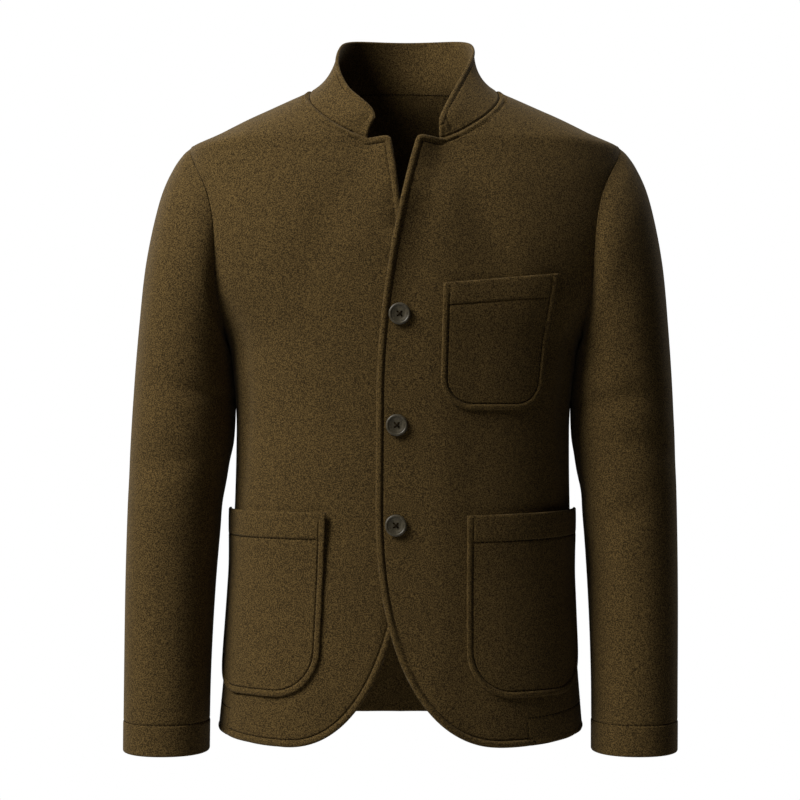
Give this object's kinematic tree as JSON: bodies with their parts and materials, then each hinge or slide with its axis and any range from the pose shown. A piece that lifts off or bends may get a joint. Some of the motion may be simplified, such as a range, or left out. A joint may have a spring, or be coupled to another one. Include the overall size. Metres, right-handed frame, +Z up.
{
  "type": "stand-collar wool jacket, worn shape",
  "caption": "Unlined wool jacket with notched stand collar, cutaway buttoned front and patch pockets, filled out as worn with sleeves hanging.",
  "frame": {"origin": "between the shoulders, 7.5 mm below the foot of the collar at the sides of the neck, where the wearer's shoulders hold the jacket up", "axes": "+Z up, -Y the front of the jacket, +X the wearer's left"},
  "size_m": [0.6014, 0.2546, 0.7817],
  "materials": {
    "wool": "felted wool with a short nap, dark olive brown",
    "button": "polished dark horn with a dished face"
  },
  "bodies": {
    "root": {"front_left": "wool", "front_right": "wool", "back": "wool", "collar": "wool", "sleeve_left": "wool", "sleeve_right": "wool", "pocket_chest": "wool", "pocket_hip_left": "wool", "pocket_hip_right": "wool", "button_1": "button", "button_2": "button", "button_3": "button"}
  },
  "joints": []
}
